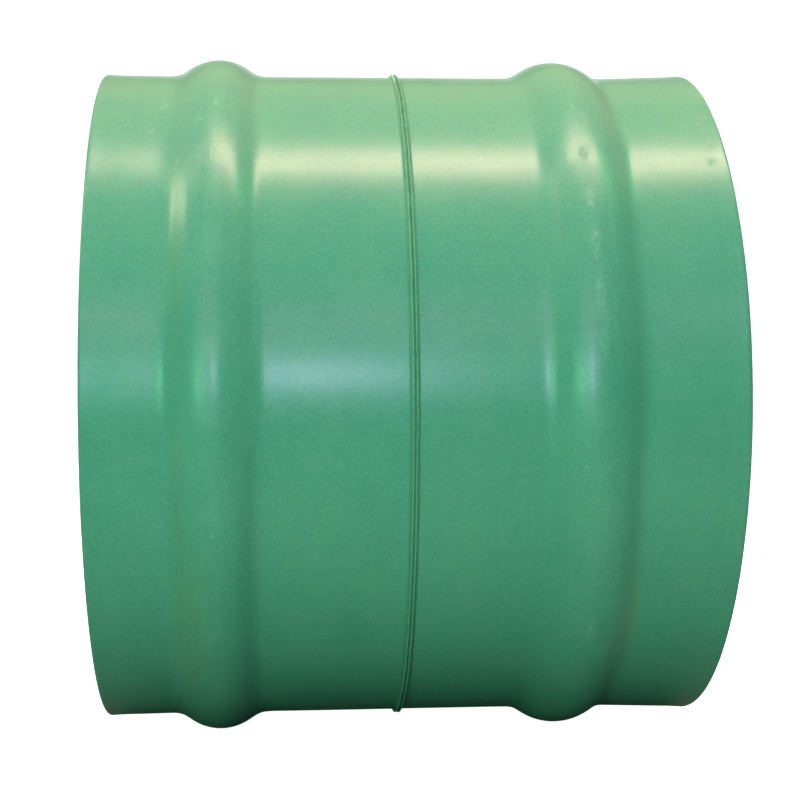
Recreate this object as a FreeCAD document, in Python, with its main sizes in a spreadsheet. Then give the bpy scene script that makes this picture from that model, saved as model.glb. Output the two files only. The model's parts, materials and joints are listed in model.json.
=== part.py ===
import FreeCAD, Part
import math
import os

import Sketcher

# A gasketed coupling for two lengths of 15 inch sewer pipe, in millimetres.
# The axis is X and the origin is the middle of the coupling's length.
# Each bell is drawn from the weld with its mouth towards +X. Its Placement turns the left one
# round, and moves every piece by the weld's distance from the middle.

SIZES = [
    ("pipe_diameter", 388.62, "outside diameter of the pipe that each bell takes"),
    ("socket_clearance", 1.0, "radial gap between the pipe and the bell"),
    ("wall_thickness", 11.1, "wall of the bells"),
    ("left_length", 182.9, "weld to the left rim"),
    ("right_length", 188.1, "weld to the right rim"),
    ("left_race_offset", 111.5, "weld to the middle of the left gasket race"),
    ("right_race_offset", 101.8, "weld to the middle of the right gasket race"),
    ("left_race_rise", 10.4, "how far the left race stands out from the barrel"),
    ("right_race_rise", 10.2, "how far the right race stands out from the barrel"),
    ("left_crest_radius", 32.5, "outside radius across the left race's crest"),
    ("right_crest_radius", 35.0, "outside radius across the right race's crest"),
    ("race_blend_radius", 10.0, "outside radius where a race runs into the barrel"),
    ("left_mouth_angle", 0.8, "degrees that the left mouth opens towards its rim"),
    ("right_mouth_angle", 1.9, "degrees that the right mouth opens towards its rim"),
    ("rim_edge_radius", 2.2, "rounding of the rim's outside edge"),
    ("lead_in_length", 9.0, "length of the bevel inside the rim"),
    ("lead_in_depth", 2.4, "depth of the bevel inside the rim"),
    ("outer_weld_edge", 2.8, "width and depth of the melted edge outside"),
    ("inner_weld_edge", 4.0, "width and depth of the melted edge inside"),
    ("weld_valley", 0.5, "rise of the crease between a bead's two rolls"),
    ("left_roll_radius", 1.6, "radius of the outer bead's left roll"),
    ("right_roll_radius", 1.45, "radius of the outer bead's right roll"),
    ("inner_roll_radius", 2.03, "radius of the inner bead's rolls"),
    ("gasket_reach", 19.0, "middle of the race to each end of the gasket"),
    ("gasket_end_rise", 0.6, "how far the gasket's ends stand back from the bore"),
    ("lip_clearance", 0.2, "radial gap between the seated lips and the pipe"),
    ("lip_offset", 7.4, "middle of the race to each lip"),
    ("lip_radius", 4.0, "radius of a lip"),
    ("valley_radius", 8.0, "radius of the valley between the lips"),
    ("band_width", 10.0, "width of the steel band"),
    ("band_thickness", 1.2, "thickness of the steel band"),
    ("band_depth", 0.8, "steel band's outside face to the crest of the race"),
]
SIZE = {alias: number for alias, number, note in SIZES}

# Sizes worked out from the sheet, each as the expression that the sketches are bound to
# and as the number that an outline is first drawn with.
BORE = "(sizes.pipe_diameter / 2 + sizes.socket_clearance)"
BARREL = "(sizes.pipe_diameter / 2 + sizes.socket_clearance + sizes.wall_thickness)"
LIP = "(sizes.pipe_diameter / 2 + sizes.lip_clearance)"
WELD = "(sizes.left_length - sizes.right_length) / 2"
bore_radius = SIZE["pipe_diameter"] / 2 + SIZE["socket_clearance"]
barrel_radius = bore_radius + SIZE["wall_thickness"]
lip_reach = SIZE["pipe_diameter"] / 2 + SIZE["lip_clearance"]
weld_place = (SIZE["left_length"] - SIZE["right_length"]) / 2

START, END, CENTRE = 1, 2, 3
ORIGIN = (-1, 1)
VERTICAL_AXIS = -2
ALONG = "DistanceX"
OUTWARD = "DistanceY"

doc = FreeCAD.newDocument("pipe_coupling")
sheet = doc.addObject("Spreadsheet::Sheet", "sizes")
for row, (alias, number, note) in enumerate(SIZES, start=1):
    sheet.set(f"A{row}", note)
    sheet.set(f"B{row}", str(number))
    sheet.setAlias(f"B{row}", alias)
doc.recompute()


class Outline:
    """A closed outline on its body's XZ plane: sketch x runs along the axis, sketch y out from it."""

    def __init__(self, body, name):
        self.sketch = body.newObject("Sketcher::SketchObject", name)
        plane = next(f for f in body.Origin.OriginFeatures if f.Role == "XZ_Plane")
        self.sketch.AttachmentSupport = [(plane, "")]
        self.sketch.MapMode = "FlatFace"
        self.chain = []

    def add(self, geometry, first, last, smooth):
        """Append a stretch, which starts at the end of the one before."""
        index = self.sketch.addGeometry(geometry, False)
        if self.chain:
            self.join(self.chain[-1], (index, first, last), smooth)
        self.chain.append((index, first, last))
        return index

    def join(self, before, after, smooth):
        kind = "Tangent" if smooth else "Coincident"
        self.sketch.addConstraint(Sketcher.Constraint(kind, before[0], before[2], after[0], after[1]))

    def line(self, start, end, smooth=False):
        segment = Part.LineSegment(FreeCAD.Vector(*start, 0), FreeCAD.Vector(*end, 0))
        return self.add(segment, START, END, smooth)

    def arc(self, centre, start, end, clockwise, smooth=False):
        """An arc between two points. A sketch keeps every arc anticlockwise."""
        low, high = (end, start) if clockwise else (start, end)
        angles = [math.atan2(p[1] - centre[1], p[0] - centre[0]) for p in (low, high)]
        if angles[1] < angles[0]:
            angles[1] += 2 * math.pi
        radius = math.hypot(low[0] - centre[0], low[1] - centre[1])
        circle = Part.Circle(FreeCAD.Vector(*centre, 0), FreeCAD.Vector(0, 0, 1), radius)
        first, last = (END, START) if clockwise else (START, END)
        return self.add(Part.ArcOfCircle(circle, *angles), first, last, smooth)

    def close(self):
        self.join(self.chain[-1], self.chain[0], False)

    def rule(self, kind, *where):
        self.sketch.addConstraint(Sketcher.Constraint(kind, *where))

    def size(self, kind, where, expression):
        """A dimension bound to the sheet. It starts at the value the outline was drawn with."""
        index = self.sketch.addConstraint(Sketcher.Constraint(kind, *where))
        self.sketch.setExpression(f"Constraints[{index}]", expression)

    def place(self, kind, geometry, point, expression):
        """The distance of a point from the origin, along the axis or out from it."""
        x, y = self.sketch.getPoint(geometry, point)[:2]
        start = x if kind == ALONG else y
        self.size(kind, (*ORIGIN, geometry, point, start), expression)

    def radius(self, geometry, expression):
        start = self.sketch.Geometry[geometry].Radius
        self.size("Radius", (geometry, start), expression)

    def on_axis_plane(self, geometry, point):
        self.rule("PointOnObject", geometry, point, VERTICAL_AXIS)


def new_body(name, mouth_turn):
    """A body whose origin is on the weld, turned by this many degrees about Z."""
    body = doc.addObject("PartDesign::Body", name)
    body.Label = name
    body.Placement = FreeCAD.Placement(
        FreeCAD.Vector(weld_place, 0, 0), FreeCAD.Rotation(FreeCAD.Vector(0, 0, 1), mouth_turn)
    )
    body.setExpression("Placement.Base.x", WELD)
    return body


def revolve(body, outline):
    """Turn the outline once round the pipe's axis."""
    doc.recompute()
    if not outline.sketch.FullyConstrained:
        raise RuntimeError(f"{outline.sketch.Name} is not fully constrained")
    ring = body.newObject("PartDesign::Revolution", body.Name + "_ring")
    ring.Profile = outline.sketch
    ring.ReferenceAxis = (outline.sketch, ["H_Axis"])
    ring.Angle = 360
    body.Tip = ring
    return body


def race_points(side):
    """Where one race's arcs start and meet, on the outside of the bell."""
    offset = SIZE[f"{side}_race_offset"]
    crest = SIZE[f"{side}_crest_radius"]
    blend = SIZE["race_blend_radius"]
    crest_centre = barrel_radius + SIZE[f"{side}_race_rise"] - crest
    rise = barrel_radius + blend - crest_centre
    half_width = math.sqrt((crest + blend) ** 2 - rise**2)
    return offset, crest, blend, crest_centre, half_width


def along(centre, towards, distance):
    """The point at a distance from a centre, in the direction of another point."""
    step = distance / math.hypot(towards[0] - centre[0], towards[1] - centre[1])
    return (centre[0] + step * (towards[0] - centre[0]), centre[1] + step * (towards[1] - centre[1]))


def bell(side, mouth_turn):
    """One bell: a barrel, the hollow race for its gasket, and a mouth that opens a little."""
    body = new_body(f"{side}_bell", mouth_turn)
    offset, crest, blend, crest_centre, half_width = race_points(side)
    wall = SIZE["wall_thickness"]
    rim = SIZE[f"{side}_length"]
    slope = math.tan(math.radians(SIZE[f"{side}_mouth_angle"]))
    mouth = slope * (rim - offset - half_width)
    edge = SIZE["rim_edge_radius"]
    lead = SIZE["lead_in_length"]
    outer_edge = SIZE["outer_weld_edge"]
    inner_edge = SIZE["inner_weld_edge"]

    middle = (offset, crest_centre)
    near = (offset - half_width, barrel_radius + blend)
    far = (offset + half_width, barrel_radius + blend)
    near_foot = (near[0], barrel_radius)
    far_foot = (far[0], barrel_radius)
    near_inner_foot = (near[0], bore_radius)
    far_inner_foot = (far[0], bore_radius)
    edge_start = (rim - edge, barrel_radius + mouth)
    edge_end = (rim, barrel_radius + mouth - edge)
    lead_end = (rim - lead, bore_radius + mouth - slope * lead)
    lead_start = (rim, lead_end[1] + SIZE["lead_in_depth"])

    o = Outline(body, f"{side}_bell_section")
    butt = o.line((0, bore_radius + inner_edge), (0, barrel_radius - outer_edge))
    outer_bevel = o.line((0, barrel_radius - outer_edge), (outer_edge, barrel_radius))
    barrel = o.line((outer_edge, barrel_radius), near_foot)
    near_blend = o.arc(near, near_foot, along(near, middle, blend), False, smooth=True)
    top = o.arc(middle, along(middle, near, crest), along(middle, far, crest), True, smooth=True)
    far_blend = o.arc(far, along(far, middle, blend), far_foot, False, smooth=True)
    mouth_outside = o.line(far_foot, edge_start, smooth=True)
    rim_edge = o.arc((rim - edge, edge_end[1]), edge_start, edge_end, True, smooth=True)
    rim_face = o.line(edge_end, lead_start, smooth=True)
    lead_in = o.line(lead_start, lead_end)
    mouth_inside = o.line(lead_end, far_inner_foot)
    inner = crest - wall
    outer = blend + wall
    far_inner = o.arc(far, far_inner_foot, along(far, middle, outer), True, smooth=True)
    race = o.arc(middle, along(middle, far, inner), along(middle, near, inner), False, smooth=True)
    near_inner = o.arc(near, along(near, middle, outer), near_inner_foot, True, smooth=True)
    land = o.line(near_inner_foot, (inner_edge, bore_radius), smooth=True)
    inner_bevel = o.line((inner_edge, bore_radius), (0, bore_radius + inner_edge))
    o.close()

    o.on_axis_plane(butt, START)
    o.rule("Vertical", butt)
    o.rule("Horizontal", barrel)
    o.rule("Horizontal", land)
    o.rule("Vertical", rim_face)
    o.rule("Coincident", near_inner, CENTRE, near_blend, CENTRE)
    o.rule("Coincident", race, CENTRE, top, CENTRE)
    o.rule("Coincident", far_inner, CENTRE, far_blend, CENTRE)
    o.rule("Horizontal", near_blend, CENTRE, far_blend, CENTRE)
    o.rule("Parallel", mouth_outside, mouth_inside)
    o.place(OUTWARD, barrel, START, BARREL)
    o.place(OUTWARD, land, END, BORE)
    o.place(OUTWARD, outer_bevel, START, f"{BARREL} - sizes.outer_weld_edge")
    o.place(ALONG, outer_bevel, END, "sizes.outer_weld_edge")
    o.place(ALONG, inner_bevel, START, "sizes.inner_weld_edge")
    o.place(OUTWARD, inner_bevel, END, f"{BORE} + sizes.inner_weld_edge")
    o.place(ALONG, top, CENTRE, f"sizes.{side}_race_offset")
    o.place(OUTWARD, top, CENTRE, f"{BARREL} + sizes.{side}_race_rise - sizes.{side}_crest_radius")
    o.radius(top, f"sizes.{side}_crest_radius")
    o.radius(near_blend, "sizes.race_blend_radius")
    o.radius(far_blend, "sizes.race_blend_radius")
    o.radius(rim_edge, "sizes.rim_edge_radius")
    o.size("Angle", (mouth_outside, math.atan(slope)), f"sizes.{side}_mouth_angle * 1 deg")
    o.place(ALONG, rim_face, START, f"sizes.{side}_length")
    depth = SIZE["lead_in_depth"]
    o.size(OUTWARD, (lead_in, END, lead_in, START, depth), "sizes.lead_in_depth")
    o.place(ALONG, lead_in, END, f"sizes.{side}_length - sizes.lead_in_length")
    return revolve(body, o)


def gasket(side, mouth_turn):
    """The rubber ring that fills the race: two sealing lips, and a groove outside for its steel band."""
    body = new_body(f"{side}_gasket", mouth_turn)
    offset, crest, blend, crest_centre, half_width = race_points(side)
    inner = crest - SIZE["wall_thickness"]
    outer = blend + SIZE["wall_thickness"]
    reach = SIZE["gasket_reach"]
    half_band = SIZE["band_width"] / 2
    band_top = crest_centre + inner - SIZE["band_depth"]
    band_floor = band_top - SIZE["band_thickness"]
    end = bore_radius + SIZE["gasket_end_rise"]
    lip = SIZE["lip_radius"]
    valley = SIZE["valley_radius"]

    middle = (offset, crest_centre)
    near = (offset - half_width, barrel_radius + blend)
    far = (offset + half_width, barrel_radius + blend)
    end_top = near[1] - math.sqrt(outer**2 - (half_width - reach) ** 2)
    groove_top = crest_centre + math.sqrt(inner**2 - half_band**2)
    back_lip = (offset - SIZE["lip_offset"], lip_reach + lip)
    front_lip = (offset + SIZE["lip_offset"], lip_reach + lip)
    drop = math.sqrt((lip + valley) ** 2 - SIZE["lip_offset"] ** 2)
    hollow = (offset, lip_reach + lip - drop)
    front_meet = along(front_lip, hollow, lip)
    back_meet = along(back_lip, hollow, lip)

    o = Outline(body, f"{side}_gasket_section")
    back_flank = o.arc(near, (offset - reach, end_top), along(near, middle, outer), False)
    back_crest = o.arc(
        middle, along(middle, near, inner), (offset - half_band, groove_top), True, smooth=True
    )
    groove_back = o.line((offset - half_band, groove_top), (offset - half_band, band_floor))
    groove_floor = o.line((offset - half_band, band_floor), (offset + half_band, band_floor))
    groove_front = o.line((offset + half_band, band_floor), (offset + half_band, groove_top))
    front_crest = o.arc(middle, (offset + half_band, groove_top), along(middle, far, inner), True)
    front_flank = o.arc(
        far, along(far, middle, outer), (offset + reach, end_top), False, smooth=True
    )
    front_end = o.line((offset + reach, end_top), (offset + reach, end))
    o.line((offset + reach, end), (front_lip[0] + 1, lip_reach))
    front_seal = o.arc(front_lip, (front_lip[0] + 1, lip_reach + 0.1), front_meet, True, smooth=True)
    hollow_arc = o.arc(hollow, front_meet, back_meet, False, smooth=True)
    back_seal = o.arc(back_lip, back_meet, (back_lip[0] - 1, lip_reach + 0.1), True, smooth=True)
    o.line((back_lip[0] - 1, lip_reach), (offset - reach, end), smooth=True)
    back_end = o.line((offset - reach, end), (offset - reach, end_top))
    o.close()

    for upright in (groove_back, groove_front, front_end, back_end):
        o.rule("Vertical", upright)
    o.rule("Horizontal", groove_floor)
    o.rule("Coincident", back_crest, CENTRE, front_crest, CENTRE)
    o.rule("Equal", back_crest, front_crest)
    o.place(ALONG, back_crest, CENTRE, f"sizes.{side}_race_offset")
    o.place(
        OUTWARD, back_crest, CENTRE, f"{BARREL} + sizes.{side}_race_rise - sizes.{side}_crest_radius"
    )
    o.radius(back_crest, f"sizes.{side}_crest_radius - sizes.wall_thickness")
    for flank in (back_flank, front_flank):
        o.place(OUTWARD, flank, CENTRE, f"{BARREL} + sizes.race_blend_radius")
        o.radius(flank, "sizes.race_blend_radius + sizes.wall_thickness")
    o.place(
        OUTWARD,
        groove_floor,
        START,
        f"{BORE} + sizes.{side}_race_rise - sizes.band_depth - sizes.band_thickness",
    )
    o.place(ALONG, groove_floor, START, f"sizes.{side}_race_offset - sizes.band_width / 2")
    o.place(ALONG, groove_floor, END, f"sizes.{side}_race_offset + sizes.band_width / 2")
    o.place(ALONG, front_end, END, f"sizes.{side}_race_offset + sizes.gasket_reach")
    o.place(OUTWARD, front_end, END, f"{BORE} + sizes.gasket_end_rise")
    o.place(ALONG, back_end, START, f"sizes.{side}_race_offset - sizes.gasket_reach")
    o.place(OUTWARD, back_end, START, f"{BORE} + sizes.gasket_end_rise")
    for seal, sign in ((front_seal, "+"), (back_seal, "-")):
        o.radius(seal, "sizes.lip_radius")
        o.place(ALONG, seal, CENTRE, f"sizes.{side}_race_offset {sign} sizes.lip_offset")
        o.place(OUTWARD, seal, CENTRE, f"{LIP} + sizes.lip_radius")
    o.radius(hollow_arc, "sizes.valley_radius")
    return revolve(body, o)


def steel_band(side, mouth_turn):
    """The flat hoop in the gasket's groove, which keeps the gasket in its race."""
    body = new_body(f"{side}_gasket_steel_band", mouth_turn)
    offset = SIZE[f"{side}_race_offset"]
    half = SIZE["band_width"] / 2
    top = bore_radius + SIZE[f"{side}_race_rise"] - SIZE["band_depth"]
    floor = top - SIZE["band_thickness"]
    outside = f"{BORE} + sizes.{side}_race_rise - sizes.band_depth"

    o = Outline(body, f"{side}_band_section")
    back_side = o.line((offset - half, floor), (offset - half, top))
    top_line = o.line((offset - half, top), (offset + half, top))
    front_side = o.line((offset + half, top), (offset + half, floor))
    floor_line = o.line((offset + half, floor), (offset - half, floor))
    o.close()
    o.rule("Vertical", back_side)
    o.rule("Vertical", front_side)
    o.rule("Horizontal", top_line)
    o.rule("Horizontal", floor_line)
    o.place(ALONG, top_line, START, f"sizes.{side}_race_offset - sizes.band_width / 2")
    o.place(ALONG, top_line, END, f"sizes.{side}_race_offset + sizes.band_width / 2")
    o.place(OUTWARD, top_line, START, outside)
    o.place(OUTWARD, floor_line, START, f"{outside} - sizes.band_thickness")
    return revolve(body, o)


def weld_bead(name, surface, edge, outward, rolls):
    """A bead of two rolls with a crease between them, over the V where the bells' edges melted.

    surface is the radius it stands on, edge the melted edge's size, outward +1 outside and -1
    inside, and rolls the size names of its left and right roll.
    """
    body = new_body(name, 0)
    expression, foot = surface
    width = SIZE[edge]
    crease = foot + outward * SIZE["weld_valley"]
    sign = "+" if outward > 0 else "-"
    root = foot - outward * width

    o = Outline(body, name + "_section")
    left_root = o.line((0, root), (-width, foot))
    arcs = []
    for number, (start, end) in enumerate((((-width, foot), (0, crease)), ((0, crease), (width, foot)))):
        radius = SIZE[rolls[number]]
        half_chord = math.dist(start, end) / 2
        lift = outward * math.sqrt(radius**2 - half_chord**2)
        run, climb = (end[0] - start[0]) / 2 / half_chord, (end[1] - start[1]) / 2 / half_chord
        centre = (
            (start[0] + end[0]) / 2 - lift * climb,
            (start[1] + end[1]) / 2 + lift * run,
        )
        arcs.append(o.arc(centre, start, end, outward > 0))
    right_root = o.line((width, foot), (0, root))
    o.close()

    o.on_axis_plane(left_root, START)
    o.place(OUTWARD, left_root, START, f"{expression} - {outward} * sizes.{edge}")
    o.place(ALONG, right_root, START, f"sizes.{edge}")
    o.rule("Symmetric", left_root, END, right_root, START, VERTICAL_AXIS)
    o.place(OUTWARD, right_root, START, expression)
    o.on_axis_plane(arcs[1], END if outward > 0 else START)
    o.place(OUTWARD, arcs[1], END if outward > 0 else START, f"{expression} {sign} sizes.weld_valley")
    for arc, roll in zip(arcs, rolls):
        o.radius(arc, f"sizes.{roll}")
    return revolve(body, o)


bodies = []
for side, mouth_turn in (("left", 180), ("right", 0)):
    bodies.append(bell(side, mouth_turn))
    bodies.append(gasket(side, mouth_turn))
    bodies.append(steel_band(side, mouth_turn))
bodies.append(
    weld_bead(
        "outer_weld_bead",
        (BARREL, barrel_radius),
        "outer_weld_edge",
        1,
        ("left_roll_radius", "right_roll_radius"),
    )
)
bodies.append(
    weld_bead(
        "inner_weld_bead",
        (BORE, bore_radius),
        "inner_weld_edge",
        -1,
        ("inner_roll_radius", "inner_roll_radius"),
    )
)
doc.recompute()

for item in doc.Objects:
    if "Invalid" in item.State or "Error" in item.State:
        raise RuntimeError(f"{item.Name} did not recompute: {item.State}")
for body in bodies:
    if body.Shape.isNull() or not body.Shape.isValid() or len(body.Shape.Solids) != 1:
        raise RuntimeError(f"{body.Label} is not one valid solid")

os.makedirs("parts", exist_ok=True)
for body in bodies:
    body.Shape.exportStep(f"parts/{body.Label}.step")
    box = body.Shape.BoundBox
    print(f"{body.Label}: x {box.XMin:.2f} to {box.XMax:.2f}, radius {box.ZMax:.3f}")
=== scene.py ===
import json
import math

import bpy
import numpy as np
from mathutils import Matrix, Vector


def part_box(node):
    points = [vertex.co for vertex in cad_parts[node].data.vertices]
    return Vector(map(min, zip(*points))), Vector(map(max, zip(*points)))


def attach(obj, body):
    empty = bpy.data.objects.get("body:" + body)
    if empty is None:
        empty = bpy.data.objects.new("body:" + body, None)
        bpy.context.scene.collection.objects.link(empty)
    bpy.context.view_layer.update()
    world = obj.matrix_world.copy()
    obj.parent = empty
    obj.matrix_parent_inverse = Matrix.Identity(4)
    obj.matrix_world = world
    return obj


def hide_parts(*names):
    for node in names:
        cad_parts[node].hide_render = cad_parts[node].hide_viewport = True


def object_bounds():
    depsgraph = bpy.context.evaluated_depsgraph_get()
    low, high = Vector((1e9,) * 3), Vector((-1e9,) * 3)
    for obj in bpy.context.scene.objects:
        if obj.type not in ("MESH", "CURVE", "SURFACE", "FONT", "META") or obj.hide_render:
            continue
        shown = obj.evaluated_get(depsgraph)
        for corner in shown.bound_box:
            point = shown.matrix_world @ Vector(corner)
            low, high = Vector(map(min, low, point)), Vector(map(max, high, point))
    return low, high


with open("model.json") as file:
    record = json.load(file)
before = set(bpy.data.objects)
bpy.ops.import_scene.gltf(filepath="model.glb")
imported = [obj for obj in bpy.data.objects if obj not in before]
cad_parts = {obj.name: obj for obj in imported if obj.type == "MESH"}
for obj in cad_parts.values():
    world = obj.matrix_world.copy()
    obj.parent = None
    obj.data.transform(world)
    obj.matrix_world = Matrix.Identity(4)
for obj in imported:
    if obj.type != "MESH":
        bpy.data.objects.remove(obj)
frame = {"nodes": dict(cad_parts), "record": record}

CAD_BOX = [list(corner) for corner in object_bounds()]
MM = 0.001

# ---------------------------------------------------------------------------------------------
# Sizes, in metres. What the frame states is read from it; the rest is named here.

MOUNTS = {mount["name"]: mount for mount in frame["record"]["mounts"]}
BORE = MOUNTS["right_socket"]["dims"]["r_mm"] * MM
WALL = 11.1 * MM
BARREL = BORE + WALL
RACE_BLEND = 10 * MM

# What differs between the two bells: the crest's radius and how far the mouth opens.
CREST_RADIUS = {"left": 32.5 * MM, "right": 35 * MM}
MOUTH_ANGLE = {"left": math.radians(0.8), "right": math.radians(1.9)}

RIM_EDGE = 2.2 * MM
RIM_FACE_EDGE = 0.6 * MM
LEAD_IN_LENGTH = 9 * MM
LEAD_IN_DEPTH = 2.4 * MM

OUTER_WELD_EDGE = 2.8 * MM
INNER_WELD_EDGE = 4 * MM

BAND_HALF = 5 * MM
GASKET_REACH = 19 * MM
GASKET_SKIN = 0.05 * MM

# How far the bends of the bells' outlines are eased, and the step between their points.
EASE = 3.2 * MM
EASE_STEP = 1.2 * MM

# A point this far from a sharp edge keeps the shading next to the edge from smearing.
EDGE_GUARD = 0.2 * MM

# Steps round the axis, and the bead's points across.
ROUND_STEPS = 720
BEAD_STEPS = 1440
BEAD_ACROSS = 60


def low(node):
    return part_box(node)[0]


def high(node):
    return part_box(node)[1]


# The weld's place along the axis, and from the weld to each rim and to the middle of each race.
WELD = high("left_bell")[0]
LENGTH = {"left": WELD - low("left_bell")[0], "right": high("right_bell")[0] - WELD}
RACE_OFFSET = {
    "left": WELD - (low("left_gasket")[0] + high("left_gasket")[0]) / 2,
    "right": (low("right_gasket")[0] + high("right_gasket")[0]) / 2 - WELD,
}
RACE_RISE = {side: high(f"{side}_bell")[2] - BARREL for side in RACE_OFFSET}
FLOOR_LEVEL = CAD_BOX[0][2]


# ---------------------------------------------------------------------------------------------
# Outlines: lists of (distance from the weld along the axis, distance out from it)


def line(start, end, steps):
    """Points from start up to, but not including, end."""
    share = np.linspace(0, 1, steps, endpoint=False)[:, None]
    return np.array(start) * (1 - share) + np.array(end) * share


def arc(centre, radius, first, last, steps):
    """Points from angle first up to, but not including, last, in degrees."""
    turn = np.radians(np.linspace(first, last, steps, endpoint=False))
    return np.array(centre) + radius * np.column_stack([np.cos(turn), np.sin(turn)])


def eased(parts):
    """The parts as one line of even steps, its bends eased in and out, its ends where they were."""
    points = np.vstack(parts)
    gaps = np.hypot(*np.diff(points, axis=0).T)
    far = np.concatenate([[0], np.cumsum(gaps)])
    even = np.linspace(0, far[-1], round(far[-1] / EASE_STEP) + 1)
    fine = np.column_stack([np.interp(even, far, column) for column in points.T])
    half = round(3 * EASE / EASE_STEP)
    before = 2 * fine[0] - fine[half:0:-1]
    after = 2 * fine[-1] - fine[-2 : -half - 2 : -1]
    weights = np.exp(-0.5 * (np.arange(-half, half + 1) * EASE_STEP / EASE) ** 2)
    weights /= weights.sum()
    padded = np.vstack([before, fine, after])
    return np.column_stack([np.convolve(column, weights, "valid") for column in padded.T])


class Race:
    """The raised race of one bell: three arcs, and where they meet."""

    def __init__(self, side):
        self.crest = CREST_RADIUS[side]
        self.offset = RACE_OFFSET[side]
        self.centre = BARREL + RACE_RISE[side] - self.crest
        climb = BARREL + RACE_BLEND - self.centre
        self.half_width = math.sqrt((self.crest + RACE_BLEND) ** 2 - climb**2)
        self.lean = math.degrees(math.atan2(self.half_width, climb))

    def outside(self):
        """The race's outside, from the barrel to the mouth."""
        near = (self.offset - self.half_width, BARREL + RACE_BLEND)
        far = (self.offset + self.half_width, BARREL + RACE_BLEND)
        middle = (self.offset, self.centre)
        return [
            arc(near, RACE_BLEND, 270, 270 + self.lean, 10),
            arc(middle, self.crest, 90 + self.lean, 90 - self.lean, 36),
            arc(far, RACE_BLEND, 270 - self.lean, 270, 10),
        ]

    def inside(self, skin=0.0, reach=None):
        """The race's inside, from the mouth to the barrel, less a skin. It can stop at a reach."""
        near = (self.offset - self.half_width, BARREL + RACE_BLEND)
        far = (self.offset + self.half_width, BARREL + RACE_BLEND)
        middle = (self.offset, self.centre)
        blend = RACE_BLEND + WALL + skin
        start = 0.0
        if reach:
            start = math.degrees(math.asin((self.half_width - reach) / blend))
        return [
            arc(far, blend, 270 - start, 270 - self.lean, 10),
            arc(middle, self.crest - WALL - skin, 90 - self.lean, 90 + self.lean, 30),
            arc(near, blend, 270 + self.lean, 270 + start, 10),
        ]


def bell_outline(side):
    """One bell with its mouth towards +X: outside out to the rim, then back along the inside."""
    race = Race(side)
    slope = math.tan(MOUTH_ANGLE[side])
    tilt = math.degrees(MOUTH_ANGLE[side])
    foot = race.offset + race.half_width
    rim = LENGTH[side]
    opening = slope * (rim - foot)
    edge_middle = (rim - RIM_EDGE, BARREL + opening - RIM_EDGE)
    lead_end = (rim - LEAD_IN_LENGTH, BORE + opening - slope * LEAD_IN_LENGTH)
    face_inside = lead_end[1] + LEAD_IN_DEPTH
    lead_tilt = math.degrees(math.atan2(LEAD_IN_DEPTH, LEAD_IN_LENGTH))
    corner = (rim - RIM_FACE_EDGE, face_inside + RIM_FACE_EDGE)
    outside = [
        line((OUTER_WELD_EDGE, BARREL), (race.offset - race.half_width, BARREL), 16),
        *race.outside(),
        line((foot, BARREL), (rim - RIM_EDGE, BARREL + opening), 14),
        [(rim - RIM_EDGE, BARREL + opening)],
    ]
    inside = [
        line(lead_end, (foot, BORE), 10),
        *race.inside(),
        line((race.offset - race.half_width, BORE), (INNER_WELD_EDGE, BORE), 14),
        [(INNER_WELD_EDGE, BORE)],
    ]
    parts = [
        line((0, BARREL - OUTER_WELD_EDGE), (OUTER_WELD_EDGE, BARREL), 3),
        [(OUTER_WELD_EDGE, BARREL), (OUTER_WELD_EDGE + EDGE_GUARD, BARREL)],
        eased(outside)[1:-1],
        arc(edge_middle, RIM_EDGE, 90 + tilt, 0, 8),
        line((rim, edge_middle[1]), (rim, corner[1]), 5),
        arc(corner, RIM_FACE_EDGE, 360, 270 + lead_tilt, 4),
        line((corner[0], face_inside - slope * RIM_FACE_EDGE), lead_end, 6),
        eased(inside)[:-1],
        [(INNER_WELD_EDGE + EDGE_GUARD, BORE)],
        line((INNER_WELD_EDGE, BORE), (0, BORE + INNER_WELD_EDGE), 3),
        line((0, BORE + INNER_WELD_EDGE), (0, BARREL - OUTER_WELD_EDGE), 3),
    ]
    return np.vstack(parts)


def gasket_outline(side):
    """The gasket, free of a pipe: it fills the race, with ribs, a thick and a thin lip inside."""
    race = Race(side)
    groove_top = race.centre + math.sqrt((race.crest - WALL) ** 2 - BAND_HALF**2) - GASKET_SKIN
    band_thickness = 1.9 * MM
    groove_floor = high(f"{side}_gasket_steel_band")[2] - band_thickness
    outside = np.vstack(race.inside(GASKET_SKIN, GASKET_REACH))
    in_groove = np.abs(outside[:, 0] - race.offset) < BAND_HALF
    first, last = np.flatnonzero(in_groove)[[0, -1]]
    groove = [
        (race.offset + BAND_HALF + GASKET_SKIN, groove_top),
        (race.offset + BAND_HALF + GASKET_SKIN, groove_floor),
        (race.offset - BAND_HALF - GASKET_SKIN, groove_floor),
        (race.offset - BAND_HALF - GASKET_SKIN, groove_top),
    ]
    outer = np.vstack([outside[:first], groove, outside[last + 1 :]])[::-1]

    def at(x, rise):
        return (race.offset + x * MM, BORE + rise * MM)

    end_round = 0.5 * MM
    nose = at(GASKET_REACH / MM, 0.6)
    tail = at(-GASKET_REACH / MM, 0.6)
    ribs = []
    for x, rise in ((17.2, 0.25), (15.0, -0.05), (12.8, -0.35)):
        ribs.append(arc(at(x, rise + 0.35), 0.7 * MM, 350, 190, 6))
    inner = [
        [(nose[0], nose[1] + end_round)],
        *ribs,
        arc(at(5.6, -1.6), 2.4 * MM, 340, 190, 14),
        arc(at(-1.4, 2.6), 2.6 * MM, 20, 160, 10),
        arc(at(-8.2, 0.4), 1.7 * MM, 350, 200, 12),
        arc(at(-13.0, 1.5), 1.4 * MM, 30, 150, 6),
        [(tail[0], tail[1] - 0.1 * MM), (tail[0], tail[1] + end_round)],
    ]
    return np.vstack([outer, *inner])


# ---------------------------------------------------------------------------------------------
# Meshes


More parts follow.
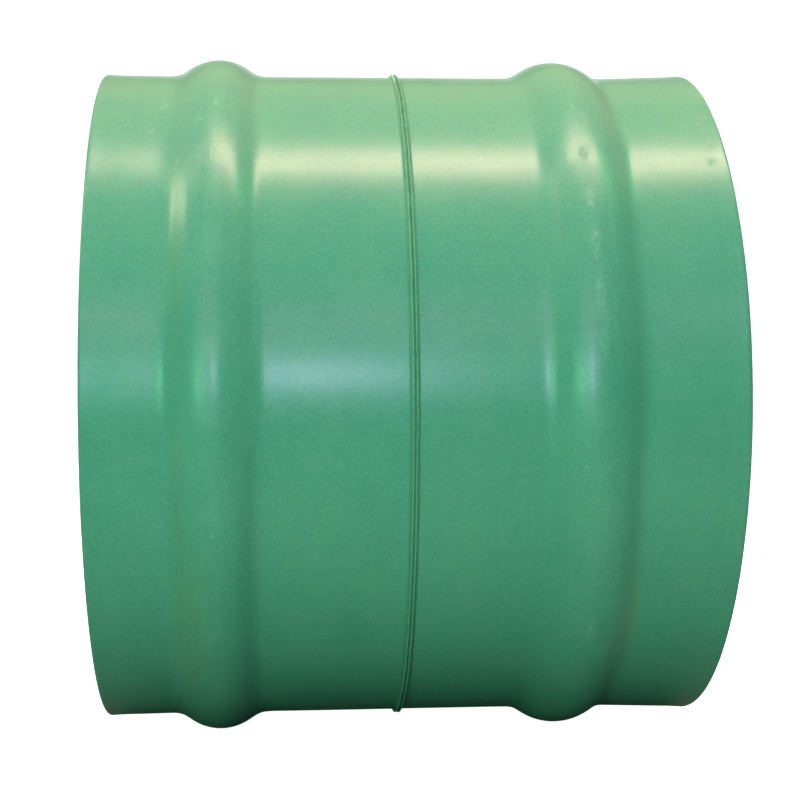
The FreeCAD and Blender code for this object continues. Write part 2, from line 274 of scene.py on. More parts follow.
def waves(angle, strengths, seed):
    """A smooth closed wave round the axis, between -1 and 1: one strength for each lobe count."""
    rng = np.random.default_rng(seed)
    total = np.zeros_like(angle)
    for lobes, strength in strengths:
        total += strength * np.sin(lobes * angle + rng.uniform(0, 2 * math.pi))
    return total / sum(strength for lobes, strength in strengths)


def turned(name, outline, steps, mirror=False, shape=None):
    """A closed ring: the outline turned about X. Angle 0 faces -Y and 90 degrees faces +Z.

    shape(along, out, angle) may move every point. It gets and gives whole arrays.
    """
    if mirror:
        outline = (outline * (-1, 1))[::-1]
    angle = np.linspace(0, 2 * math.pi, steps, endpoint=False)[:, None]
    along = np.broadcast_to(outline[:, 0], (steps, len(outline)))
    out = np.broadcast_to(outline[:, 1], (steps, len(outline)))
    if shape:
        along, out = shape(along, out, angle)
    points = np.stack([WELD + along, -out * np.cos(angle), out * np.sin(angle)], axis=-1)

    count = len(outline)
    here = np.arange(steps * count).reshape(steps, count)
    beside = np.roll(here, -1, axis=1)
    above = np.roll(here, -1, axis=0)
    corner = np.roll(beside, -1, axis=0)
    faces = np.stack([here, beside, corner, above], axis=-1).reshape(-1, 4)

    mesh = bpy.data.meshes.new(name)
    mesh.vertices.add(steps * count)
    mesh.vertices.foreach_set("co", points.ravel())
    mesh.loops.add(faces.size)
    mesh.loops.foreach_set("vertex_index", faces.ravel())
    mesh.polygons.add(len(faces))
    mesh.polygons.foreach_set("loop_start", np.arange(0, faces.size, 4))
    mesh.update()
    mesh.validate()
    mesh.polygons.foreach_set("use_smooth", np.ones(len(faces), dtype=bool))
    piece = bpy.data.objects.new(name, mesh)
    bpy.context.collection.objects.link(piece)
    return piece


def bell_shape(side):
    """The bell's slight unevenness: its surface only sinks, its race strays along the pipe, and its
    rim is cut a little short at the top."""
    seed = {"left": 11, "right": 23}[side]
    stray, lean = {"left": (0.25 * MM, 0.75 * MM), "right": (0.20 * MM, 0.25 * MM)}[side]
    skew = {"left": 0.3 * MM, "right": 1.6 * MM}[side]
    oval_sink, ripple_sink, mouth_sink = 0.20 * MM, 0.05 * MM, 0.35 * MM
    rough_cut = 0.4 * MM
    lip_rise, lip_length = 0.45 * MM, 12 * MM
    race_reach = 30 * MM

    def shape(along, out, angle):
        share = np.abs(along) / LENGTH[side]
        oval = (1 + waves(angle, ((2, 1.0), (3, 0.5)), seed)) / 2
        mouth = (1 + waves(angle, ((2, 0.6), (3, 1.0), (5, 0.4)), seed + 1)) / 2
        ripple = (1 + waves(angle + 9 * along, ((7, 1.0), (11, 0.6)), seed + 2)) / 2
        sink = oval_sink * oval + ripple_sink * ripple + mouth_sink * mouth * share**4
        cut = (1 + waves(angle, ((1, 1.0), (9, 0.1), (17, 0.08)), seed + 3)) / 2
        over = np.maximum(np.sin(angle), 0) ** 1.5
        trim = np.sign(along) * (rough_cut * cut + skew * over) * share**6
        near_rim = np.clip((np.abs(along) - LENGTH[side]) / lip_length + 1, 0, 1)
        lip = lip_rise * near_rim**2
        beside = (np.abs(along) - RACE_OFFSET[side]) / race_reach
        moved = (stray + lean * np.sin(angle)) * np.exp(-(beside**4))
        return along - trim + moved, out - sink + lip

    return shape


def roll_height(distance, rise, ridge, foot):
    """One roll's height at a distance from its crest: a narrow round ridge on a low, wide foot."""
    foot_share = 0.40
    slope = np.maximum(1 - distance / foot, 0)
    peak = np.exp(-((distance / ridge) ** 3))
    return rise * ((1 - foot_share) * peak + foot_share * slope)


def weld_bead(name, base, edge, outward, rolls, seed):
    """A bead of two uneven rolls over the melted edges. rolls has, in mm, for the left and right
    roll: where its crest is, its rise, its ridge's half width and its foot's distance from it."""
    angle = np.linspace(0, 2 * math.pi, BEAD_STEPS, endpoint=False)[:, None]
    slow = ((3, 1.0), (5, 0.8), (8, 0.6), (13, 0.5))
    quick = ((29, 1.0), (47, 0.9), (83, 0.7), (131, 0.5))

    def uneven(amount, extra):
        swell = waves(angle, slow, seed + extra)
        flutter = waves(angle, quick, seed + 50 + extra)
        return 1 + amount * (0.65 * swell + 0.35 * flutter)

    left, right = rolls
    drift_together, drift_apart = 0.22, 0.12
    drift = drift_together * (uneven(1, 7) - 1)
    left_crest = left[0] + drift + drift_apart * (uneven(1, 1) - 1)
    right_crest = right[0] + drift + drift_apart * (uneven(1, 2) - 1)
    left_rise = left[1] * uneven(0.10, 3)
    right_rise = right[1] * uneven(0.16, 4)
    left_foot = left[3] * uneven(0.08, 5)
    right_foot = right[3] * uneven(0.10, 6)
    start = left_crest - left_foot
    end = right_crest + right_foot
    share = np.linspace(0, 1, BEAD_ACROSS)[None, :]
    place = start * (1 - share) + end * share
    heights = np.maximum(
        roll_height(np.abs(place - left_crest), left_rise, left[2], left_foot),
        roll_height(np.abs(place - right_crest), right_rise, right[2], right_foot),
    )
    sunk_edge = -0.4
    heights[:, [0, -1]] = sunk_edge

    def shape(along, out, turn):
        """Puts every point in place. The last one is the bead's root, between the two edges."""
        x = np.concatenate([place, np.zeros((BEAD_STEPS, 1))], axis=1)
        root = np.full((BEAD_STEPS, 1), -edge / MM)
        height = np.concatenate([heights, root], axis=1)
        return x * MM, base + outward * height * MM

    unshaped = np.zeros((BEAD_ACROSS + 1, 2))
    return turned(name, unshaped, BEAD_STEPS, shape=shape)


# ---------------------------------------------------------------------------------------------
# Pieces


def build():
    pieces = {}
    for side in ("left", "right"):
        mirror = side == "left"
        outline = bell_outline(side)
        bell = turned(f"{side}_bell_moulded", outline, ROUND_STEPS, mirror, bell_shape(side))
        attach(bell, "root")
        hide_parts(f"{side}_bell")
        pieces[f"{side}_bell"] = bell
        outline = gasket_outline(side)
        gasket = turned(f"{side}_gasket_moulded", outline, ROUND_STEPS, mirror, bell_shape(side))
        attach(gasket, "root")
        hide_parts(f"{side}_gasket")
        pieces[f"{side}_gasket"] = gasket
    outer_rolls = ((-0.75, 2.25, 0.64, 2.1), (1.3, 2.15, 0.64, 2.0))
    outer = weld_bead("outer_weld_rolls", BARREL, OUTER_WELD_EDGE, 1, outer_rolls, 5)
    inner_rolls = ((-1.7, 2.3, 1.2, 2.3), (1.7, 2.3, 1.2, 2.3))
    inner = weld_bead("inner_weld_rolls", BORE, INNER_WELD_EDGE, -1, inner_rolls, 77)
    for bead, node in ((outer, "outer_weld_bead"), (inner, "inner_weld_bead")):
        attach(bead, "root")
        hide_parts(node)
        pieces[node] = bead
    return pieces


pieces = build()

# ---------------------------------------------------------------------------------------------
# Materials


# How far noise frays the edge of a scuff, as a share of the scuff's half size.
FRAY = 1.4


class Graph:
    """Builds one material's nodes. Any value may be a number, a tuple or a node's output."""

    def __init__(self, name):
        self.material = bpy.data.materials.new(name)
        self.material.use_nodes = True
        self.tree = self.material.node_tree
        self.tree.nodes.clear()
        self.place = self.node("ShaderNodeTexCoord").outputs["Object"]
        self.x, self.y, self.z = self.node("ShaderNodeSeparateXYZ", Vector=self.place).outputs
        self.angle = self.math("ARCTAN2", self.z, self.math("MULTIPLY", self.y, -1.0))
        flat = self.math("MULTIPLY", self.y, self.y)
        self.radius = self.math("SQRT", self.math("MULTIPLY_ADD", self.z, self.z, flat))

    def feed(self, socket, value):
        if isinstance(value, bpy.types.NodeSocket):
            self.tree.links.new(value, socket)
        else:
            socket.default_value = value

    def node(self, kind, **values):
        """Settings of the node are named as they are, and its inputs by their labels."""
        node = self.tree.nodes.new(kind)
        inputs = {}
        for key, value in values.items():
            if key in node.bl_rna.properties and not node.bl_rna.properties[key].is_readonly:
                setattr(node, key, value)
            else:
                inputs[key.replace("_", " ")] = value
        for key, value in inputs.items():
            self.feed(node.inputs[key], value)
        return node

    def math(self, operation, *values):
        node = self.tree.nodes.new("ShaderNodeMath")
        node.operation = operation
        for socket, value in zip(node.inputs, values):
            self.feed(socket, value)
        return node.outputs[0]

    def total(self, *terms):
        """The sum of (value, weight) pairs."""
        result = None
        for value, weight in terms:
            if result is None:
                result = self.math("MULTIPLY", value, weight)
            else:
                result = self.math("MULTIPLY_ADD", value, weight, result)
        return result

    def smooth(self, value, low, high, start=0.0, end=1.0):
        """Runs smoothly from start to end as the value goes from low to high."""
        node = self.tree.nodes.new("ShaderNodeMapRange")
        node.interpolation_type = "SMOOTHSTEP"
        for socket, given in zip(node.inputs, (value, low, high, start, end)):
            self.feed(socket, given)
        return node.outputs[0]

    def mix(self, share, first, second):
        node = self.tree.nodes.new("ShaderNodeMix")
        node.data_type = "RGBA"
        self.feed(node.inputs[0], share)
        for socket, colour in zip(node.inputs[6:8], (first, second)):
            self.feed(socket, colour if isinstance(colour, bpy.types.NodeSocket) else (*colour, 1))
        return node.outputs[2]

    def noise(self, scale, detail, seed, rough=0.5, vector=None):
        """Noise with about this many cells in a metre: one number, or one for each direction."""
        if isinstance(scale, (int, float)):
            scale = (scale, scale, scale)
        shift = (seed * 3.7 + 0.31, seed * 5.3 + 1.7, seed * 7.9 + 2.3)
        moved = self.tree.nodes.new("ShaderNodeVectorMath")
        moved.operation = "MULTIPLY_ADD"
        for socket, value in zip(moved.inputs, (vector or self.place, scale, shift)):
            self.feed(socket, value)
        node = self.node(
            "ShaderNodeTexNoise",
            Vector=moved.outputs[0],
            Scale=1.0,
            Detail=detail,
            Roughness=rough,
        )
        return node.outputs[0]

    def patch(self, along, turn, half_along, half_round, soft, wander=None):
        """1 inside an oval on the surface and 0 outside it. Its place is in mm and degrees, and its
        half sizes are in mm. soft is its edge's share of a half size, and wander frays the edge."""
        across = self.math("SUBTRACT", self.x, WELD + along * MM)
        across = self.math("MULTIPLY", across, 1 / (half_along * MM))
        around = self.math("SUBTRACT", self.angle, math.radians(turn))
        around = self.math("MULTIPLY", around, BARREL / (half_round * MM))
        far = self.math("MULTIPLY_ADD", across, across, self.math("MULTIPLY", around, around))
        far = self.math("SQRT", far)
        if wander:
            far = self.math("MULTIPLY_ADD", wander, FRAY, far)
            edge = 1 + FRAY / 2
            return self.smooth(far, edge, edge - soft)
        return self.smooth(far, 1.0, 1.0 - soft)

    def most(self, masks):
        result = masks[0]
        for mask in masks[1:]:
            result = self.math("MAXIMUM", result, mask)
        return result

    def spread(self, colour, roughness, height, metallic=0.0):
        """Ends the material: colour and roughness as given, and height in metres as bump."""
        bump = self.node("ShaderNodeBump", Strength=1.0, Distance=1.0, Height=height)
        shader = self.node(
            "ShaderNodeBsdfPrincipled",
            Base_Color=colour,
            Roughness=roughness,
            Metallic=metallic,
            IOR=1.5,
            Normal=bump.outputs[0],
        )
        self.node("ShaderNodeOutputMaterial", Surface=shader.outputs[0])
        return self.material


PVC_COOL = (0.125, 0.525, 0.370)
PVC_WARM = (0.180, 0.555, 0.330)
# The darker green is both a random darker tone of the PVC and the painted shade in the weld bead's
# crease.
PVC_DARK_AND_SHADE = (0.085, 0.380, 0.235)
PVC_PALE = (0.235, 0.640, 0.425)
# The pale weld green is both the bead's own pale bridges and the painted highlight on its crests.
WELD_PALE_AND_HIGHLIGHT = (0.310, 0.700, 0.450)
CHALK = (0.410, 0.760, 0.580)
# Near-white: the whitened core of the strongest scuffs, and a painted glint on them.
WHITENED_AND_GLINT = (0.740, 0.910, 0.790)
BRUISE = (0.040, 0.240, 0.150)
GRIME = (0.110, 0.170, 0.060)
SAND = (0.270, 0.400, 0.110)

# Marks from handling: along in mm, turn in degrees, half sizes in mm along and round, strength.
# Those of half size HAIRLINE or less along are fine lines, with clean edges and no nicks.
HAIRLINE = 1
SCUFFS = {
    "left": (
        (-119, 48, 4.5, 5, 0.7),
        (-130, 38.8, 3.4, 4, 1.1),
        (-122.5, 38.2, 3.6, 4.5, 1.1),
        (-115.5, 37.8, 4, 4.5, 1.15),
        (-111.5, 38.7, 0.9, 9, 1.7),
        (-110, 41, 0.45, 17, 0.85),
        (-103, 30, 0.4, 26, 0.60),
        (-110, 52, 2.4, 8, 0.8),
        (-141, 56, 5, 8, 0.75),
        (-148, 48, 5, 6, 0.7),
        (-104, 66, 3, 7, 0.5),
        (-111, -21, 1.8, 2.4, 1.0),
        (-107, -23, 1.5, 1.8, 0.9),
        (-160, 70, 6, 8, 0.6),
        (-181, 62, 3, 10, 0.7),
    ),
    "right": (
        (101, 39.5, 4.2, 9, 1.35),
        (101.6, 40.5, 0.9, 5, 2.2),
        (100.2, 39, 0.7, 6, 1.4),
        (100, 52, 2.8, 4, 0.9),
        (101, 30, 4.0, 12, 0.75),
        (101.5, 23, 5.0, 20, 0.80),
        (102.5, 15, 5.0, 20, 0.78),
        (103.5, 7, 4.0, 16, 0.65),
        (112, 25, 3.5, 22, 0.55),
        (183, 61, 4, 7, 0.85),
        (179, 52, 5, 6, 0.95),
        (176, 47.5, 0.9, 6, 1.2),
        (180, 44, 6, 8, 1.0),
        (177, 40, 5, 6, 0.9),
        (176, 50, 3, 4, 0.8),
        (103, -39, 2.2, 12, 0.8),
        (94, -11, 1.6, 2.2, 0.95),
        (102, -14, 1.4, 1.6, 0.9),
        (110, 10, 1.2, 26, 0.50),
        (101, -28, 1.4, 20, 0.55),
        (43, 41, 1.6, 3, 0.9),
        (44, 37, 1.2, 1.6, 0.8),
    ),
}
# Faint brownish patches, given in the same way.
TINTS = {
    "left": (
        (-130, 20, 3.0, 120, 0.30),
        (-130, -24, 3.0, 110, 0.35),
        (-122, -38, 17, 90, 0.40),
        (-179, -68, 7, 16, 0.8),
    ),
    "right": ((128, -34, 6.0, 85, 0.55), (150, 4.5, 5, 5, 0.30), (183, -71, 5, 14, 0.9)),
}


# The PVC is never glossier than this. Below it, the renderer's noise filter takes the surface for a
# mirror, and draws false marks.
SMOOTHEST = 0.278


def moulded_pvc(name, side):
    """Green PVC: mottled, faintly drawn along the pipe, worn on the crest and the rim."""
    g = Graph(name)
    sign = -1 if side == "left" else 1
    broad = g.noise(7, 2, seed=1)
    cloud = g.noise(26, 3, seed=2)
    blotch = g.noise(130, 2, seed=3)
    grain = g.noise(1050, 2, seed=4)
    mottle = g.noise(520, 2, seed=13)
    rings = g.noise((420, 5, 5), 3, seed=5, rough=0.6)
    drawn = g.noise((6, 330, 330), 3, seed=6, rough=0.6)

    hue = g.total((blotch, 1.1), (cloud, 0.7), (broad, 0.5))
    colour = g.mix(g.smooth(hue, 0.85, 1.47, 0.28, 0.72), PVC_COOL, PVC_WARM)
    shade = g.total(
        (grain, 0.80), (mottle, 0.40), (cloud, 0.25), (drawn, 0.12), (rings, 0.12), (broad, 0.15)
    )
    colour = g.mix(g.smooth(shade, 0.76, 0.92, 0.34, 0.0), colour, PVC_DARK_AND_SHADE)
    colour = g.mix(g.smooth(shade, 0.92, 1.08, 0.0, 0.34), colour, PVC_PALE)

    rise = RACE_RISE[side]
    crest = g.smooth(g.radius, BARREL + 0.72 * rise, BARREL + rise)
    rim_place = LENGTH[side] + sign * WELD
    rim = g.smooth(g.math("MULTIPLY", g.x, sign), rim_place - 5 * MM, rim_place - 0.5 * MM)
    rubbed = g.math("MULTIPLY", g.noise(60, 4, seed=7, rough=0.65), g.most([crest, rim]))
    rubbed = g.smooth(rubbed, 0.30, 0.75)

    # Ticks lean across the surface, as something dragged round the pipe leaves them.
    lean = g.node(
        "ShaderNodeCombineXYZ",
        X=g.total((g.x, 0.80), (g.angle, 0.60 * BARREL)),
        Y=g.total((g.x, -0.60), (g.angle, 0.80 * BARREL)),
        Z=g.radius,
    ).outputs[0]
    ticks = g.noise((1700, 330, 200), 3, seed=8, rough=0.6, vector=lean)
    ticks = g.smooth(ticks, 0.50, 0.62)
    wander = g.noise(420, 3, seed=9, rough=0.6)
    scuffs = []
    deep = []
    for along, turn, half_along, half_round, strength in SCUFFS[side]:
        fray = wander if half_along > HAIRLINE else None
        mask = g.patch(along, turn, half_along, half_round, 0.7, fray)
        mask = g.math("MULTIPLY", mask, strength)
        scuffs.append(mask)
        if fray:
            deep.append(mask)
    scuff = g.most(scuffs)
    nick = g.noise((900, 330, 200), 3, seed=14, rough=0.6, vector=lean)
    nick = g.smooth(nick, 0.52, 0.57)
    nick = g.math("MULTIPLY", nick, g.smooth(g.most(deep), 0.75, 1.05))

    # The same kind of marks at random places, all the way round.
    cell = g.node("ShaderNodeTexVoronoi", Vector=g.place, Scale=22.0, Randomness=1.0)
    odd = g.node("ShaderNodeSeparateColor", Color=cell.outputs["Color"]).outputs
    stray = g.smooth(g.math("MULTIPLY_ADD", wander, 0.3, cell.outputs["Distance"]), 0.27, 0.17)
    stray = g.math("MULTIPLY", stray, g.smooth(odd[0], 0.80, 0.90))
    stray = g.math("MULTIPLY", stray, g.most([g.smooth(crest, 0.0, 1.0, 0.15, 1.0), rim]))
    scuff = g.most([scuff, g.math("MULTIPLY", stray, 0.6)])

    specks = g.node("ShaderNodeTexVoronoi", Vector=g.place, Scale=170.0, Randomness=1.0)
    kind = g.node("ShaderNodeSeparateColor", Color=specks.outputs["Color"]).outputs
    ragged = g.math("MULTIPLY_ADD", grain, 0.35, specks.outputs["Distance"])
    dot = g.smooth(g.math("MULTIPLY_ADD", kind[2], 0.10, ragged), 0.34, 0.24)
    pale_dot = g.math("MULTIPLY", dot, g.smooth(kind[0], 0.955, 0.975))
    dark_dot = g.math("MULTIPLY", dot, g.smooth(kind[1], 0.990, 0.998))
    sandy_dot = g.math("MULTIPLY", dot, g.smooth(kind[1], 0.040, 0.025))

    long_scratch = g.noise((9, 1500, 1500), 2, seed=10)
    long_scratch = g.smooth(long_scratch, 0.72, 0.80)
    round_scratch = g.noise((1900, 7, 7), 2, seed=11)
    round_scratch = g.smooth(round_scratch, 0.74, 0.80)
    scratch = g.most([long_scratch, round_scratch])
    scratch = g.math("MULTIPLY", scratch, g.smooth(g.noise(14, 2, seed=12), 0.50, 0.62))

    heavy = g.math("MULTIPLY", scuff, scuff)
    ticked = g.math("MULTIPLY", heavy, ticks)
    # The strongest scuffs get a near-white core: partly the scratch's own whitening, partly a
    # painted glint.
    whitened_and_glint = g.smooth(ticked, 1.0, 2.2)
    worn = g.total((heavy, 0.12), (ticked, 0.95), (rubbed, 0.14))
    worn = g.math("ADD", worn, g.total((scratch, 0.22), (pale_dot, 0.45)))
    worn = g.math("MINIMUM", worn, 1.0)

    # The TINTS patches are mixed towards a brownish green, broken up by the cloud noise.
    brown_tint = []
    for along, turn, half_along, half_round, strength in TINTS[side]:
        mask = g.patch(along, turn, half_along, half_round, 0.9)
        brown_tint.append(g.math("MULTIPLY", mask, strength))
    brown_tint = g.math("MULTIPLY", g.most(brown_tint), g.smooth(cloud, 0.30, 0.62, 0.4, 1.0))
    colour = g.mix(g.math("MULTIPLY", brown_tint, 0.6), colour, SAND)
    colour = g.mix(g.math("MULTIPLY", dark_dot, 0.35), colour, GRIME)
    colour = g.mix(g.math("MULTIPLY", sandy_dot, 0.6), colour, SAND)
    colour = g.mix(g.math("MULTIPLY", nick, 0.8), colour, BRUISE)
    colour = g.mix(worn, colour, CHALK)
    colour = g.mix(g.math("MULTIPLY", whitened_and_glint, 0.8), colour, WHITENED_AND_GLINT)

    roughness = g.total((blotch, 0.045), (rings, 0.035), (worn, 0.22), (rubbed, 0.06))
    roughness = g.math("MAXIMUM", g.math("ADD", roughness, 0.252), SMOOTHEST)
    height = g.total(
        (grain, 0.022 * MM),
        (mottle, 0.022 * MM),
        (rings, 0.014 * MM),
        (drawn, 0.008 * MM),
        (g.math("MULTIPLY", scuff, ticks), -0.050 * MM),
        (nick, -0.15 * MM),
        (scratch, -0.002 * MM),
    )
    return g.spread(colour, roughness, height)


def weld_melt(name, base, rise, outward):
    """The bead: melted PVC, smooth and glossier, painted highlight on its crests, painted shade in
    its duller crease.
    """
    g = Graph(name)
    up = g.math("MULTIPLY", g.math("SUBTRACT", g.radius, base), outward)
    blotch = g.noise(160, 3, seed=21)
    grain = g.noise(1100, 2, seed=22)
    lumps = g.noise((300, 90, 90), 3, seed=23)
    colour = g.mix(g.smooth(blotch, 0.28, 0.52), PVC_COOL, PVC_WARM)
    # Painted shade: the low places on the bead, its crease and its sunk feet, are painted darker.
    deep = g.smooth(up, 0.72 * rise, 0.30 * rise)
    colour = g.mix(g.math("MULTIPLY", deep, 0.60), colour, PVC_DARK_AND_SHADE)
    bridge = g.smooth(g.noise((40, 520, 520), 2, seed=24), 0.60, 0.70)
    from_weld = g.math("ABSOLUTE", g.math("SUBTRACT", g.x, WELD))
    middle = g.smooth(from_weld, 1.0 * MM, 0.3 * MM)
    bridge = g.math("MULTIPLY", bridge, middle)
    # Painted highlight: the bead's crests are painted pale all round. The pale bridges across the
    # crease are the bead's own.
    crest = g.smooth(up, 0.70 * rise, 0.92 * rise)
    colour = g.mix(g.total((crest, 0.75), (bridge, 0.45)), colour, WELD_PALE_AND_HIGHLIGHT)
    specks = g.node("ShaderNodeTexVoronoi", Vector=g.place, Scale=260.0, Randomness=1.0)
    kind = g.node("ShaderNodeSeparateColor", Color=specks.outputs["Color"]).outputs
    dot = g.smooth(specks.outputs["Distance"], 0.30, 0.12)
    dot = g.math("MULTIPLY", dot, g.smooth(kind[0], 0.97, 0.98))
    colour = g.mix(g.math("MULTIPLY", dot, 0.5), colour, CHALK)
    roughness = g.math("ADD", g.total((blotch, 0.10), (grain, 0.06), (deep, 0.12)), 0.20)
    height = g.total((lumps, 0.04 * MM), (grain, 0.008 * MM), (bridge, 0.25 * MM))
    return g.spread(colour, roughness, height)


def gasket_rubber(name):
    """Black rubber: a grey bloom, dust, fine flow lines round the ring."""
    g = Graph(name)
    bloom = g.noise(45, 4, seed=31, rough=0.6)
    flow = g.noise((900, 12, 12), 3, seed=32)
    grain = g.noise(1800, 2, seed=33)
    colour = g.mix(g.smooth(bloom, 0.35, 0.70), (0.011, 0.011, 0.012), (0.030, 0.031, 0.032))
    colour = g.mix(g.smooth(grain, 0.58, 0.72, 0.0, 0.35), colour, (0.070, 0.070, 0.066))
    roughness = g.math("ADD", g.total((bloom, 0.18), (flow, 0.10)), 0.36)
    height = g.total((flow, 0.020 * MM), (grain, 0.008 * MM), (bloom, 0.05 * MM))
    return g.spread(colour, roughness, height)


def rolled_steel(name):
    """A steel hoop: bright, brushed round its length, lightly stained."""
    g = Graph(name)
    brushed = g.noise((2600, 9, 9), 4, seed=41, rough=0.6)
    stain = g.noise(70, 4, seed=42)
    colour = g.mix(g.smooth(brushed, 0.30, 0.70), (0.40, 0.40, 0.39), (0.64, 0.63, 0.61))
    colour = g.mix(g.smooth(stain, 0.55, 0.75, 0.0, 0.5), colour, (0.33, 0.26, 0.19))
    roughness = g.math("ADD", g.total((brushed, 0.16), (stain, 0.20)), 0.16)
    height = g.total((brushed, 0.010 * MM), (stain, 0.010 * MM))
    return g.spread(colour, roughness, height, metallic=1.0)


def dress(piece, material):
    piece.data.materials.clear()
    piece.data.materials.append(material)


for side in ("left", "right"):
    dress(pieces[f"{side}_bell"], moulded_pvc(f"pvc_green_{side}", side))
rubber = gasket_rubber("black_rubber")
steel = rolled_steel("hoop_steel")
for side in ("left", "right"):
    dress(pieces[f"{side}_gasket"], rubber)
    band = frame["nodes"][f"{side}_gasket_steel_band"]
    if not band.material_slots:
        band.data.materials.append(steel)
    for slot in band.material_slots:
        slot.material = steel
ROLL_RISE = 2.2 * MM
dress(pieces["outer_weld_bead"], weld_melt("weld_bead_outer", BARREL, ROLL_RISE, 1.0))
dress(pieces["inner_weld_bead"], weld_melt("weld_bead_inner", BORE, ROLL_RISE, -1.0))

# ---------------------------------------------------------------------------------------------
# Camera, light and floor

CAMERA_DISTANCE = 5.614 * BARREL
CAMERA_ALONG = WELD - 0.3617 * BARREL
CAMERA_HEIGHT = 0.0077 * BARREL
CAMERA_YAW = math.radians(3.99)
CAMERA_PITCH = math.radians(-0.297)
CAMERA_ROLL = math.radians(-0.343)
LENS = 78.65


def set_camera():
    camera = bpy.data.objects.new("camera", bpy.data.cameras.new("camera"))
    bpy.context.collection.objects.link(camera)
    camera.data.lens = LENS
    camera.data.sensor_width = 36
    camera.data.clip_end = 50
    turn = (
        Matrix.Rotation(-CAMERA_YAW, 4, "Z")
        @ Matrix.Rotation(math.pi / 2 + CAMERA_PITCH, 4, "X")
        @ Matrix.Rotation(CAMERA_ROLL, 4, "Z")
    )
    camera.matrix_world = Matrix.Translation((CAMERA_ALONG, -CAMERA_DISTANCE, CAMERA_HEIGHT)) @ turn
    bpy.context.scene.camera = camera


set_camera()


# Soft studio lights: place, the point it faces, width and height in metres, and its brightness as
# watts for each square metre and unit of solid angle, in red, green and blue.
LIGHTS = {
    "key": ((0.25, -0.215, 1.4), (0.25, -0.215, 0), (0.9, 0.17), (28.8, 18.7, 14.8)),
    "key_left": ((-0.7, -0.21, 1.4), (-0.7, -0.21, 0), (1.0, 0.10), (11.5, 7.8, 6.4)),
    "key_right": ((1.0, -0.21, 1.4), (1.0, -0.21, 0), (0.6, 0.12), (3.5, 11.0, 4.0)),
    "top_left": ((-1.5, -0.145, 1.4), (-1.5, -0.145, 0), (0.35, 0.5), (15.8, 13.2, 9.2)),
    "top_back": ((0, 1.0, 1.4), (0, 1.0, 0), (3.6, 1.8), (0.85, 0.62, 0.41)),
    "window_left": ((-1.18, -2.6, 0.22), (-1.18, 0, 0.22), (1.16, 0.46), (3.9, 11.6, 6.3)),
    "window_middle": ((-0.15, -2.6, 0.25), (-0.15, 0, 0.25), (0.9, 0.5), (1.15, 2.35, 2.3)),
    "window_high": ((-0.3, -2.6, 1.15), (-0.3, 0, 1.15), (1.8, 0.7), (1.8, 0.85, 1.9)),
    "window_right": ((0.75, -2.6, 0.2), (0.75, 0, 0.2), (0.8, 0.5), (0.1, 1.4, 0.1)),
    "camera_lamp": ((-0.035, -1.2, 0.124), (-0.035, 0, 0.124), (0.03, 0.015), (760, 690, 1130)),
    "floor_bounce": ((0, -0.47, -0.205), (0, -0.47, 1), (3.0, 0.34), (0.11, 0.24, 0.12)),
    "back_fill": ((0, 1.45, 0.35), (0, 0, 0), (2.4, 0.9), (1.5, 1.5, 1.5)),
    "end_left": ((-1.5, 1.0, 0.35), (-0.1, 0.1, 0), (0.8, 0.8), (2.5, 2.5, 2.5)),
    "end_right": ((1.5, 1.0, 0.35), (0.1, 0.1, 0), (0.8, 0.8), (2.5, 2.5, 2.5)),
}


def area_light(name, place, target, size, brightness):
    strongest = max(brightness)
    data = bpy.data.lights.new(name, "AREA")
    data.shape = "RECTANGLE"
    data.size, data.size_y = size
    data.energy = strongest * math.pi * size[0] * size[1]
    data.color = [value / strongest for value in brightness]
    light = bpy.data.objects.new(name, data)
    bpy.context.collection.objects.link(light)
    light.location = place
    aim = Vector(target) - Vector(place)
    light.rotation_euler = aim.to_track_quat("-Z", "Y").to_euler()
    light.visible_camera = False


for name, values in LIGHTS.items():
    area_light(name, *values)


def set_world(light, seen):
    """The room's faint light. Where the camera looks past the floor, it sees a pale wall."""
    world = bpy.data.worlds.new("room")
    world.use_nodes = True
    nodes = world.node_tree.nodes
    links = world.node_tree.links
    room = nodes["Background"]
    room.inputs["Color"].default_value = (*light, 1)
    wall = nodes.new("ShaderNodeBackground")
    wall.inputs["Color"].default_value = (*seen, 1)
    choose = nodes.new("ShaderNodeMixShader")
    links.new(nodes.new("ShaderNodeLightPath").outputs["Is Camera Ray"], choose.inputs[0])
    links.new(room.outputs[0], choose.inputs[1])
    links.new(wall.outputs[0], choose.inputs[2])
    links.new(choose.outputs[0], nodes["World Output"].inputs[0])
    bpy.context.scene.world = world


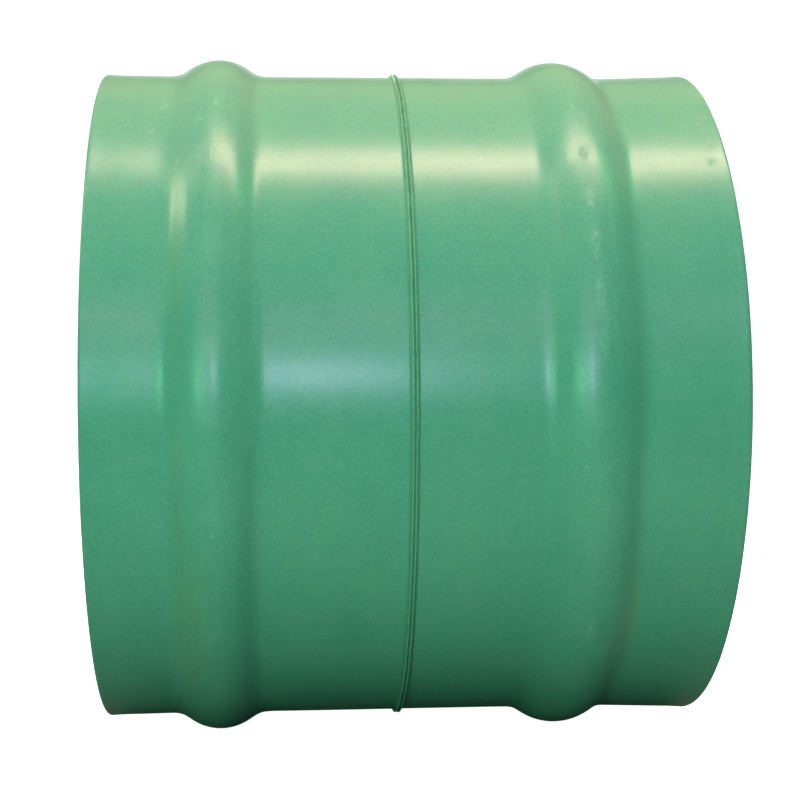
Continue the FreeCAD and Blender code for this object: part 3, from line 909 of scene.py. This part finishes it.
ROOM_LIGHT = (0.0, 0.045, 0.055)
WALL_SEEN = (1.0, 1.0, 1.0)
set_world(ROOM_LIGHT, WALL_SEEN)
bpy.context.scene.view_settings.view_transform = "Standard"


def stage():
    """A pale floor that curves up into a backdrop."""
    back = 3.0
    radius = 1.5
    front = -3.0
    half = 5.0
    top = 5.0
    bend_steps = 12
    points = [(front, 0.0), (back - radius, 0.0)]
    for step in range(1, bend_steps + 1):
        turn = math.pi / 2 * step / bend_steps
        points.append((back - radius + radius * math.sin(turn), radius * (1 - math.cos(turn))))
    points.append((back, top))
    vertices = []
    for y, z in points:
        vertices += [(-half, y, FLOOR_LEVEL + z), (half, y, FLOOR_LEVEL + z)]
    faces = [(2 * i, 2 * i + 1, 2 * i + 3, 2 * i + 2) for i in range(len(points) - 1)]
    mesh = bpy.data.meshes.new("floor")
    mesh.from_pydata(vertices, [], faces)
    mesh.polygons.foreach_set("use_smooth", [True] * len(faces))
    floor = bpy.data.objects.new("floor", mesh)
    bpy.context.collection.objects.link(floor)
    return floor


def pale_ground(floor):
    """Plain pale paper: it looks white, and throws little light back up at the object."""
    g = Graph("pale_ground")
    fibre = g.mix(g.noise(40, 3, seed=51), (0.86, 0.86, 0.86), (0.90, 0.90, 0.90))
    seen = g.node("ShaderNodeBsdfDiffuse", Color=fibre)
    glow = g.node("ShaderNodeEmission", Color=(1, 1, 1, 1), Strength=0.98)
    both = g.node("ShaderNodeAddShader")
    g.feed(both.inputs[0], seen.outputs[0])
    g.feed(both.inputs[1], glow.outputs[0])
    unseen = g.node("ShaderNodeBsdfDiffuse", Color=(0.18, 0.18, 0.18, 1))
    camera_ray = g.node("ShaderNodeLightPath").outputs["Is Camera Ray"]
    choose = g.node("ShaderNodeMixShader", Fac=camera_ray)
    g.feed(choose.inputs[1], unseen.outputs[0])
    g.feed(choose.inputs[2], both.outputs[0])
    g.node("ShaderNodeOutputMaterial", Surface=choose.outputs[0])
    dress(floor, g.material)


pale_ground(stage())
